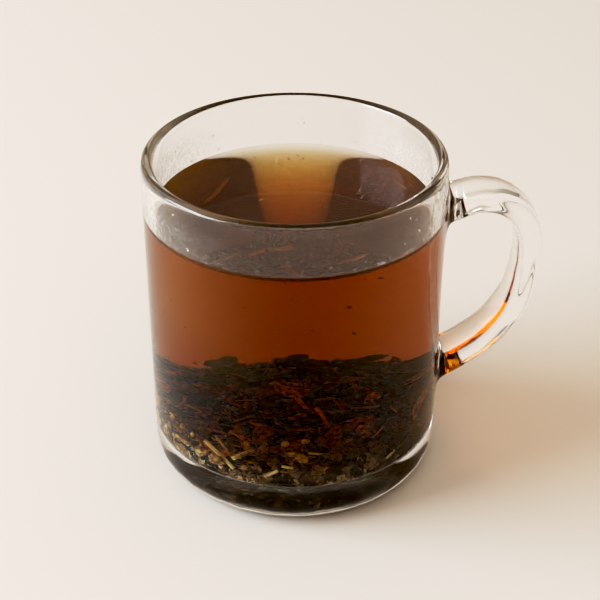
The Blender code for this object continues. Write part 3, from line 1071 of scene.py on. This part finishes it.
@dataclass
class LeafBed:
    """The bed of sunk leaves, stems, seeds and flakes, over a dark core that is partly painted shade.

    Strewn scraps keep the clearance below those that are laid within the clearing. Their colours carry
    painted light: lighter towards -X and painted shade towards +X, and painted warm light towards +Y, set
    for red, green and blue.
    """

    mug: GlassMug
    seed: int = 5
    thickness: float = 6.5 * MM
    swell: float = 1.2 * MM
    margin: float = 0.12 * MM
    core_drop: float = 1.7 * MM
    clearing: float = 2.8 * MM
    clearance: float = 1.1 * MM
    blade_thickness: float = 0.16 * MM
    # Painted light: how fast scraps grow lighter towards -X and darker towards +X, and the painted warm light
    # towards +Y.
    painted_side_light: float = 1.4
    painted_far_warmth: Colour = (0.60, 0.05, -0.10)
    on_wall: float = 0.16
    flakes_on_wall: float = 0.45
    flakes_on_floor: float = 0.3
    lean: float = 0.38
    stem_lean: float = 0.2
    straight: float = 0.01
    crooked: float = 0.05
    specks: int = 60
    speck_heights: Point = (26.0, 74.0)
    speck_sizes: tuple[float, float, float] = (0.2 * MM, 0.75 * MM, 0.35 * MM)
    mixes: dict[Scrap, Mix] = field(
        default_factory=lambda: {
            Scrap.LEAF: Mix(
                620,
                (BLACKISH, DARK_BROWN, BROWN, RUST, DULL_OLIVE, OLIVE, TAN),
                (3.0, 3.0, 3.4, 2.4, 2.6, 2.0, 1.1),
                PlantFinish("soaked_leaf"),
            ),
            Scrap.FLAKE: Mix(
                1500,
                (BLACKISH, DARK_BROWN, BROWN, DULL_OLIVE, OLIVE, TAN, STRAW),
                (2.0, 2.0, 3.0, 3.0, 3.0, 2.6, 1.0),
                PlantFinish("leaf_flake"),
            ),
            Scrap.CRUMB: Mix(
                1000,
                (BLACKISH, BROWN, RUST, TAN, STRAW),
                (1.0, 2.0, 2.0, 3.0, 3.0),
                PlantFinish("leaf_crumb", mottle=0.3),
            ),
            Scrap.STEM: Mix(
                85,
                (BROWN, RUST, TAN, STRAW),
                (3.0, 2.0, 2.5, 0.8),
                PlantFinish(
                    "cut_stem",
                    mottle=0.2,
                    fibre=0.6,
                    fibre_width=0.22 * MM,
                    fibre_length=9.0 * MM,
                ),
            ),
            Scrap.SEED: Mix(
                34,
                (BROWN, RUST, TAN, STRAW),
                (2.0, 2.0, 2.5, 0.8),
                PlantFinish("round_seed", mottle=0.5, mottle_size=0.6 * MM, fibre=0.2),
            ),
        }
    )

    def top(self, x: float, y: float) -> float:
        """Height of the bed's top over a point of the floor.

        Args:
            x: where it is asked, in metres.
            y: the same, along Y.

        Returns:
            The height.
        """
        broad = noise.noise(Vector((x / 0.022, y / 0.022, 3.1)))
        fine = noise.noise(Vector((x / 0.007, y / 0.007, 8.7)))
        heaped = 0.0
        for middle, height, reach in HEAPS:
            away = (Vector((x, y)) - Vector(middle) * MM).length / (reach * MM)
            heaped += height * MM * math.exp(-(away**2))
        return self.mug.floor_level + self.thickness + self.swell * (broad + 0.5 * fine) + heaped

    def build(self) -> list[bpy.types.Object]:
        """Builds the core and the pieces on it.

        Returns:
            The pieces.
        """
        core = self._core()
        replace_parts(core, "leaf_bed")
        chance = random.Random(self.seed)
        made = [core]
        for kind, mix in self.mixes.items():
            shape = bmesh.new()
            for laid in (laid for laid in LAID if laid.kind is kind):
                self._join(shape, self._placed(laid, chance), (*laid.tint, 1.0), chance)
            for index in range(mix.count):
                scrap = self._strewn(kind, (index + 0.5) / mix.count, index, chance)
                # Strewn scraps get painted light and shade by their place.
                self._join(shape, scrap, (*self._with_painted_light(mix.draw(chance), scrap), 1.0), chance)
            name = "bed_leaves" if kind is Scrap.LEAF else f"bed_{kind.value}s"
            made.append(made_piece(name, shape, [mix.finish.material()]))
        made.append(self._afloat(chance))
        return made

    def _afloat(self, chance: random.Random) -> bpy.types.Object:
        """The few scraps that float under the surface, and the specks that cling to the wall.

        Args:
            chance: where the random numbers come from.

        Returns:
            The piece.
        """
        shape = bmesh.new()
        for laid in FLOATING:
            self._join(shape, self._placed(laid, chance), (*laid.tint, 1.0), chance)
        low, high = self.speck_heights
        strewn = [(chance.uniform(-180, 180), chance.uniform(low, high)) for _ in range(self.specks)]
        for angle, height in (*SPECKS, *strewn):
            size = chance.triangular(*self.speck_sizes)
            scrap = self._blade(size * 1.6, size, 0.5, 0.3, 0.2, chance, 2)
            turn = Matrix.Rotation(math.radians(angle), 4, "Z") @ Matrix.Rotation(math.pi / 2, 4, "Y")
            out = self.mug.inner_radius(height * MM) - 0.3 * MM
            spin = Matrix.Rotation(chance.uniform(0, math.pi), 4, "Z")
            self._move(scrap, turn @ Matrix.Translation((-height * MM, 0.0, out)) @ spin)
            self._join(shape, scrap, (*FAINT_RUST, 1.0), chance)
        finish = PlantFinish("floating_scrap", mottle=0.2)
        return made_piece("floating_scraps", shape, [finish.material()])

    def _with_painted_light(self, colour: Colour, scrap: bmesh.types.BMesh) -> Colour:
        """A scrap's colour with painted light: lighter away from the handle, shaded towards it, warmer
        towards +Y.

        Args:
            colour: the colour drawn.
            scrap: the scrap, in its place.

        Returns:
            The colour.
        """
        place = next(iter(scrap.verts)).co / self.mug.base_radius
        # Painted light towards -X and painted shade towards +X, then painted warm light towards +Y.
        share = math.exp(-self.painted_side_light * (place.x + 0.08))
        painted_warmth = [1.0 + more * max(0.0, place.y) for more in self.painted_far_warmth]
        return tuple(min(1.0, part * share * warm) for part, warm in zip(colour, painted_warmth))

    def _core(self) -> bpy.types.Object:
        """The dark core under the loose pieces, its near-black partly painted shade in the gaps between them.

        Returns:
            The piece.
        """
        reach = self.mug.inner_radius(self.mug.floor_level) - 1.2 * MM
        bottom = self.mug.floor_level + 0.5 * MM
        corner = self.mug.inner_corner
        rings = [reach * index / 14 for index in range(15)]
        level = bottom + corner - 0.9 * MM
        profile = [(radius, level) for radius in rings]
        profile += [(reach - 0.1 * corner, bottom + 0.4 * corner), (reach - corner, bottom), (0.0, bottom)]
        shape = turned(profile, 64)
        for corner_point in shape.verts:
            if corner_point.co.z > level - 0.1 * MM:
                corner_point.co.z = self.top(corner_point.co.x, corner_point.co.y) - self.core_drop
        joined = bmesh.new()
        # Near-black, partly the soaked leaves' own dark and partly painted shade in the gaps of the bed.
        self._join(joined, shape, (*BLACKISH, 1.0), random.Random(self.seed))
        finish = PlantFinish("bed_core", relief=0.5 * MM)
        return made_piece("bed_core", joined, [finish.material()])

    def _join(
        self,
        shape: bmesh.types.BMesh,
        scrap: bmesh.types.BMesh,
        colour: tuple[float, float, float, float],
        chance: random.Random,
    ) -> None:
        """Adds a scrap to the others of its kind, with its colour and its own grain.

        Args:
            shape: the mesh of all scraps of the kind.
            scrap: the scrap, in its place, which is freed.
            colour: its colour.
            chance: where the random numbers come from.
        """
        tint = shape.loops.layers.float_color.get("tint") or shape.loops.layers.float_color.new("tint")
        grain = shape.verts.layers.float_vector.get("grain") or shape.verts.layers.float_vector.new("grain")
        local = scrap.verts.layers.float_vector.get("grain")
        own = Vector((chance.uniform(0.0, 0.1), chance.uniform(0.0, 0.1), chance.uniform(0.0, 1.0)))
        copies = {}
        for corner in scrap.verts:
            copy = shape.verts.new(corner.co)
            copy[grain] = (Vector(corner[local]) if local else corner.co) + own
            copies[corner] = copy
        for face in scrap.faces:
            made = shape.faces.new([copies[corner] for corner in face.verts])
            for loop in made.loops:
                loop[tint] = colour
        scrap.free()

    def _placed(self, laid: Laid, chance: random.Random) -> bmesh.types.BMesh:
        """A scrap between its two given ends.

        Args:
            laid: the scrap's place and form.
            chance: where the random numbers come from.

        Returns:
            The scrap.
        """
        start, end = Vector(laid.start) * MM, Vector(laid.end) * MM
        run = end - start
        if laid.kind is Scrap.STEM:
            scrap = self._stem(run.length, laid.width * MM / 2, self.straight, chance)
        elif laid.kind is Scrap.SEED:
            scrap = self._seed(laid.width * MM / 2, chance)
        else:
            scrap = self._blade(run.length, laid.width * MM, laid.roll, laid.bend, 0.3, chance)
        along = run.normalized()
        outward = Vector((start.x, start.y, 0.0)).normalized()
        facing = Vector((0, 0, 1)).lerp(outward, laid.upright)
        across = facing.cross(along).normalized()
        facing = along.cross(across)
        turn = Matrix((along, across, facing)).transposed().to_4x4()
        self._move(scrap, Matrix.Translation((start + end) / 2) @ turn)
        return scrap

    def _strewn(self, kind: Scrap, share: float, index: int, chance: random.Random) -> bmesh.types.BMesh:
        """A scrap in a place of its own among the others.

        Args:
            kind: its kind.
            share: how far out it lies, from 0 to 1 by area.
            index: its number among its kind.
            chance: where the random numbers come from.

        Returns:
            The scrap.
        """
        scrap = self._shaped(kind, chance)
        reach = self.mug.inner_radius(self.mug.floor_level) - 0.5 * MM
        golden = math.pi * (3.0 - math.sqrt(5.0))
        wall_share = self.flakes_on_wall if kind is Scrap.FLAKE else self.on_wall
        at_wall = kind is not Scrap.CRUMB and chance.random() < wall_share
        radius = reach if at_wall else (reach - 1.0 * MM) * math.sqrt(share)
        angle = index * golden + chance.uniform(-0.4, 0.4)
        x, y = radius * math.cos(angle), radius * math.sin(angle)
        floor = self.mug.floor_level + 0.2 * MM
        ceiling = self._cleared(x, y)
        height = ceiling - (ceiling - floor) * 0.3 * chance.random() ** 1.5
        if at_wall:
            height = chance.uniform(floor, ceiling)
        elif kind is Scrap.CRUMB or (kind is Scrap.FLAKE and chance.random() < self.flakes_on_floor):
            height = floor
        tilt = self.stem_lean if kind is Scrap.STEM else self.lean
        turn = Matrix.Rotation(chance.uniform(0, 2 * math.pi), 4, "Z")
        lean = Matrix.Rotation(chance.gauss(0, tilt), 4, "X")
        lean = lean @ Matrix.Rotation(chance.gauss(0, tilt), 4, "Y")
        if at_wall:
            lean = Matrix.Rotation(angle, 4, "Z") @ Matrix.Rotation(math.pi / 2, 4, "Y") @ lean
        self._move(scrap, Matrix.Translation((x, y, height)) @ lean @ turn)
        return scrap

    def _cleared(self, x: float, y: float) -> float:
        """The height that strewn scraps may reach, lower beside the laid ones.

        Args:
            x: where it is asked, in metres.
            y: the same, along Y.

        Returns:
            The height.
        """
        here = Vector((x, y))
        ceiling = self.top(x, y)
        for laid in LAID:
            start, end = Vector(laid.start) * MM, Vector(laid.end) * MM
            nearest, share = geometry.intersect_point_line(here, start.xy, end.xy)
            height = start.lerp(end, min(1.0, max(0.0, share))).z
            if -0.1 < share < 1.1 and (nearest.xy - here).length < self.clearing:
                ceiling = min(ceiling, height - self.clearance)
        return max(ceiling, self.mug.floor_level + 0.5 * MM)

    def _move(self, scrap: bmesh.types.BMesh, place: Matrix) -> None:
        """Notes a scrap's grain, puts it in its place and bends it clear of the glass.

        Args:
            scrap: the scrap round its own origin.
            place: its place.
        """
        grain = scrap.verts.layers.float_vector.new("grain")
        for corner in scrap.verts:
            corner[grain] = corner.co
            corner.co = place @ corner.co
            corner.co.z = max(corner.co.z, self.mug.floor_level + self.margin)
            across = Vector(corner.co[:2])
            most = self.mug.bore_radius(corner.co.z) - self.margin
            if across.length > most:
                across *= most / across.length
                corner.co.x, corner.co.y = across

    def _shaped(self, kind: Scrap, chance: random.Random) -> bmesh.types.BMesh:
        """A scrap of a random size, round its own origin.

        Args:
            kind: its kind.
            chance: where the random numbers come from.

        Returns:
            The scrap.
        """
        if kind is Scrap.LEAF:
            length = chance.triangular(3.5, 11.0, 6.0) * MM
            width = min(length * chance.uniform(0.28, 0.75), 4.5 * MM)
            roll, bend = chance.gauss(0.0, 1.5), chance.gauss(0.0, 0.8)
            return self._blade(length, width, roll, bend, chance.gauss(0.0, 0.6), chance)
        if kind in (Scrap.FLAKE, Scrap.CRUMB):
            length = chance.triangular(0.8, 3.2, 1.5) * MM
            return self._blade(length, length * chance.uniform(0.35, 0.8), 0.5, 0.3, 0.2, chance, 2)
        if kind is Scrap.STEM:
            length, radius = chance.uniform(2.5, 9.0) * MM, chance.uniform(0.22, 0.5) * MM
            return self._stem(length, radius, self.crooked, chance)
        return self._seed(chance.uniform(0.55, 0.95) * MM, chance)

    def _blade(
        self,
        length: float,
        width: float,
        roll: float,
        bend: float,
        twist: float,
        chance: random.Random,
        steps: int = 6,
    ) -> bmesh.types.BMesh:
        """A torn piece of leaf, rolled along its length, bent and twisted.

        Args:
            length: along it.
            width: across it.
            roll: the angle that its section turns through.
            bend: the angle that its length turns through.
            twist: the angle from end to end about its length.
            chance: where the random numbers come from.
            steps: stretches along it.

        Returns:
            The piece round its own origin.
        """
        shape = bmesh.new()
        bmesh.ops.create_grid(shape, x_segments=steps, y_segments=2 if steps < 4 else 4, size=0.5)
        roll = roll if abs(roll) > 0.05 else 0.05
        bend = bend if abs(bend) > 0.05 else 0.05
        taper, blunt = chance.uniform(-0.5, 0.5), chance.uniform(1.6, 5.0)
        crumple = 0.05 * width
        for corner in shape.verts:
            s, t = corner.co.x, corner.co.y
            outline = max(0.08, (1.0 - abs(2.0 * s) ** blunt) ** 0.6) * (1.0 + taper * s)
            outline *= 1.0 + chance.uniform(-0.14, 0.14)
            radius = width * outline / roll
            y, z = radius * math.sin(roll * t), radius * (1.0 - math.cos(roll * t))
            spin = twist * s
            y, z = y * math.cos(spin) - z * math.sin(spin), y * math.sin(spin) + z * math.cos(spin)
            arm = length / bend
            x, z = (arm - z) * math.sin(bend * s), arm - (arm - z) * math.cos(bend * s)
            corner.co = Vector((x, y + chance.gauss(0, crumple), z + chance.gauss(0, crumple)))
        bmesh.ops.solidify(shape, geom=shape.faces[:], thickness=self.blade_thickness)
        return shape

    @staticmethod
    def _stem(length: float, radius: float, slack: float, chance: random.Random) -> bmesh.types.BMesh:
        """A cut stem, faintly fluted and bent.

        Args:
            length: its length.
            radius: its radius.
            slack: how much it is bent, as a share of its length.
            chance: where the random numbers come from.

        Returns:
            The stem along X, round its own origin.
        """
        shape = bmesh.new()
        upright = Matrix.Rotation(math.pi / 2, 4, "Y")
        thin = radius * chance.uniform(0.8, 1.0)
        bmesh.ops.create_cone(
            shape,
            cap_ends=True,
            segments=12,
            radius1=radius,
            radius2=thin,
            depth=length,
            matrix=upright,
        )
        long_edges = [edge for edge in shape.edges if edge.calc_length() > length / 2]
        bmesh.ops.subdivide_edges(shape, edges=long_edges, cuts=3)
        sag, flat = chance.gauss(0.0, slack) * length, chance.uniform(0.6, 1.0)
        for corner in shape.verts:
            ridge = round(math.atan2(corner.co.z, corner.co.y) / (math.pi / 6)) % 2
            grown = 1.0 - 0.16 * ridge + chance.uniform(-0.04, 0.04)
            corner.co.y *= grown
            corner.co.z = corner.co.z * grown * flat + sag * (4.0 * (corner.co.x / length) ** 2 - 0.5)
        return shape

    @staticmethod
    def _seed(radius: float, chance: random.Random) -> bmesh.types.BMesh:
        """A round wrinkled seed or bud.

        Args:
            radius: its radius.
            chance: where the random numbers come from.

        Returns:
            The seed round its own origin.
        """
        shape = bmesh.new()
        bmesh.ops.create_icosphere(shape, subdivisions=2, radius=radius)
        longer = chance.uniform(1.0, 1.5)
        for corner in shape.verts:
            corner.co *= 1.0 + chance.uniform(-0.1, 0.06)
            corner.co.x *= longer
        return shape


# Drops on the dry glass


@dataclass
class Drops:
    """Small drops of tea on the dry inside of the wall, and bubbles along the tea's line."""

    mug: GlassMug
    seed: int = 8
    count: int = 70
    radii: Point = (0.14 * MM, 0.40 * MM)
    bubble_angles: tuple[float, ...] = (-131.0, -130.2, -61.4, -60.7, -60.1, -59.4, -58.8)
    bubble_radii: Point = (0.22 * MM, 0.36 * MM)
    finish: ClearFinish = ClearFinish("clear_drop", TEA_INDEX)

    def build(self) -> bpy.types.Object:
        """Builds the drops.

        Returns:
            The piece.
        """
        chance = random.Random(self.seed)
        shape = bmesh.new()
        low, high = self.mug.contact_height + 0.6 * MM, self.mug.height - 4.5 * MM
        for _ in range(self.count):
            angle = chance.uniform(-math.pi, math.pi)
            height = low + (high - low) * chance.random() ** 1.5
            self._add(shape, angle, height, chance.triangular(*self.radii, self.radii[0]), 0.5)
        for degrees in self.bubble_angles:
            radius = chance.uniform(*self.bubble_radii)
            self._add(shape, math.radians(degrees), low - 0.3 * MM, radius, 1.0)
        return made_piece("wall_drops", shape, [self.finish.material()])

    def _add(
        self,
        shape: bmesh.types.BMesh,
        angle: float,
        height: float,
        radius: float,
        flat: float,
    ) -> None:
        """Adds a drop that touches the wall.

        Args:
            shape: the mesh of all drops.
            angle: its angle about the mug's axis.
            height: its height.
            radius: its radius.
            flat: its thickness as a share of its width.
        """
        out = self.mug.inner_radius(height) - radius * flat - 0.02 * MM
        place = Matrix.Rotation(angle, 4, "Z") @ Matrix.Translation((out, 0.0, height))
        form = Matrix.Diagonal((flat, 1.0, 1.15, 1.0))
        bmesh.ops.create_icosphere(shape, subdivisions=2, radius=radius, matrix=place @ form)


# The stage


@dataclass
class Stage:
    """The floor, the light and the camera.

    The camera's place and aim are in millimetres, with its view along +Y before the turn about Z.
    """

    azimuth: float = -5.0
    eye: tuple[float, float, float] = (1.435, -354.2, 265.7)
    target: tuple[float, float, float] = (1.435, 0.0, 47.902)
    roll: float = 0.186
    focal_pixels: float = 1520.65
    frame_pixels: float = 600.0
    sensor: float = 36.0
    floor_half: float = 3.0
    floor_drop: float = 0.1 * MM
    floor_colour: Colour = (0.845, 0.753, 0.683)
    room_colour: Colour = (1.0, 0.855, 0.69)
    room_low: float = 0.22
    room_high: float = 0.66
    room_right: float = 0.80
    black_level: float = 0.022
    tone: tuple[Point, ...] = ((0.1, 0.105), (0.25, 0.31), (0.5, 0.62), (0.85, 0.885))

    def turned(self, place: Sequence[float]) -> Vector:
        """A place given with the camera looking along +Y, in the part's frame.

        Args:
            place: the place.

        Returns:
            The same place, turned about Z.
        """
        return Matrix.Rotation(math.radians(self.azimuth), 3, "Z") @ Vector(place)

    def build(self) -> None:
        """Builds the stage."""
        self._camera()
        self._floor()
        self._lights()
        self._sky()
        self._rendering()

    def _camera(self) -> None:
        """The camera at the photograph's angle."""
        data = bpy.data.cameras.new("camera")
        data.sensor_width = self.sensor
        data.lens = self.sensor * self.focal_pixels / self.frame_pixels
        data.clip_start = 0.01
        camera = bpy.data.objects.new("camera", data)
        bpy.context.scene.collection.objects.link(camera)
        eye, target = self.turned(self.eye) * MM, self.turned(self.target) * MM
        look = (target - eye).to_track_quat("-Z", "Y")
        camera.rotation_mode = "QUATERNION"
        camera.rotation_quaternion = look @ Quaternion((0, 0, 1), math.radians(self.roll))
        camera.location = eye
        bpy.context.scene.camera = camera

    def _floor(self) -> None:
        """The plain pale floor."""
        shape = bmesh.new()
        bmesh.ops.create_grid(shape, x_segments=2, y_segments=2, size=self.floor_half)
        bmesh.ops.translate(shape, verts=shape.verts, vec=(0, 0, -self.floor_drop))
        made, sheet = new_material("pale_floor")
        surface = {"Base Color": (*self.floor_colour, 1.0), "Roughness": 0.9, "Specular IOR Level": 0.1}
        sheet.output({"Surface": sheet.node("ShaderNodeBsdfPrincipled", None, surface)})
        mesh = bpy.data.meshes.new("floor")
        shape.to_mesh(mesh)
        shape.free()
        mesh.materials.append(made)
        floor = bpy.data.objects.new("floor", mesh)
        bpy.context.scene.collection.objects.link(floor)

    def _lights(self) -> None:
        """The soft lights."""
        self._panel("window", (-1.50, -0.24, 0.80), (1.3, 1.0), 39.6, (0.76, 0.89, 0.98))
        self._panel("front_fill", (0.2, -1.2, 1.5), (1.2, 0.8), 3.5, (1.0, 0.94, 0.84))

    def _panel(
        self,
        name: str,
        place: Sequence[float],
        size: Point,
        power: float,
        colour: Colour,
    ) -> None:
        """One soft panel of light that faces the mug.

        Args:
            name: its name.
            place: its place, with the camera looking along +Y.
            size: its width and height.
            power: its power in watts.
            colour: its colour.
        """
        data = bpy.data.lights.new(name, "AREA")
        data.shape = "RECTANGLE"
        data.size, data.size_y = size
        data.energy = power
        data.color = colour
        light = bpy.data.objects.new(name, data)
        bpy.context.scene.collection.objects.link(light)
        light.location = self.turned(place)
        aim = Vector((0, 0, 0.05)) - light.location
        light.rotation_mode = "QUATERNION"
        light.rotation_quaternion = aim.to_track_quat("-Z", "Y")

    def _sky(self) -> None:
        """The even light of the room."""
        world = bpy.data.worlds.new("room")
        bpy.context.scene.world = world
        world.use_nodes = True
        sheet = NodeSheet(world.node_tree)
        way = sheet.node("ShaderNodeTexCoord", output="Generated")
        height = sheet.node("ShaderNodeSeparateXYZ", None, {"Vector": way}, "Z")
        right = sheet.node("ShaderNodeSeparateXYZ", None, {"Vector": way}, "X")
        dimmed = 1.0 - right.over(0.0, 0.9) * (1.0 - self.room_right)
        strength = (self.room_low + height * (self.room_high - self.room_low)) * dimmed
        inputs = {"Color": (*self.room_colour, 1.0), "Strength": strength}
        sheet.output({"Surface": sheet.node("ShaderNodeBackground", None, inputs)}, "World")

    def _rendering(self) -> None:
        """The photograph's tone, and the bounces of light that the glass needs."""
        scene = bpy.context.scene
        scene.view_settings.view_transform = "Standard"
        scene.view_settings.use_curve_mapping = True
        mapping = scene.view_settings.curve_mapping
        mapping.black_level = (self.black_level,) * 3
        for point in self.tone:
            mapping.curves[3].points.new(*point)
        mapping.update()
        scene.cycles.use_denoising = True
        scene.cycles.max_bounces = 32
        scene.cycles.transmission_bounces = 32
        scene.cycles.glossy_bounces = 8
        scene.cycles.transparent_max_bounces = 16
        scene.cycles.caustics_reflective = True
        scene.cycles.caustics_refractive = True
        scene.cycles.blur_glossy = 0.3


def main() -> None:
    """Builds the pieces in order, then the stage."""
    logging.basicConfig(level=logging.INFO, format="%(name)s: %(message)s")
    mug = GlassMug()
    mug.build()
    Tea(mug).build()
    LeafBed(mug).build()
    Drops(mug).build()
    Stage().build()


if __name__ == "__main__":
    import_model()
    main()
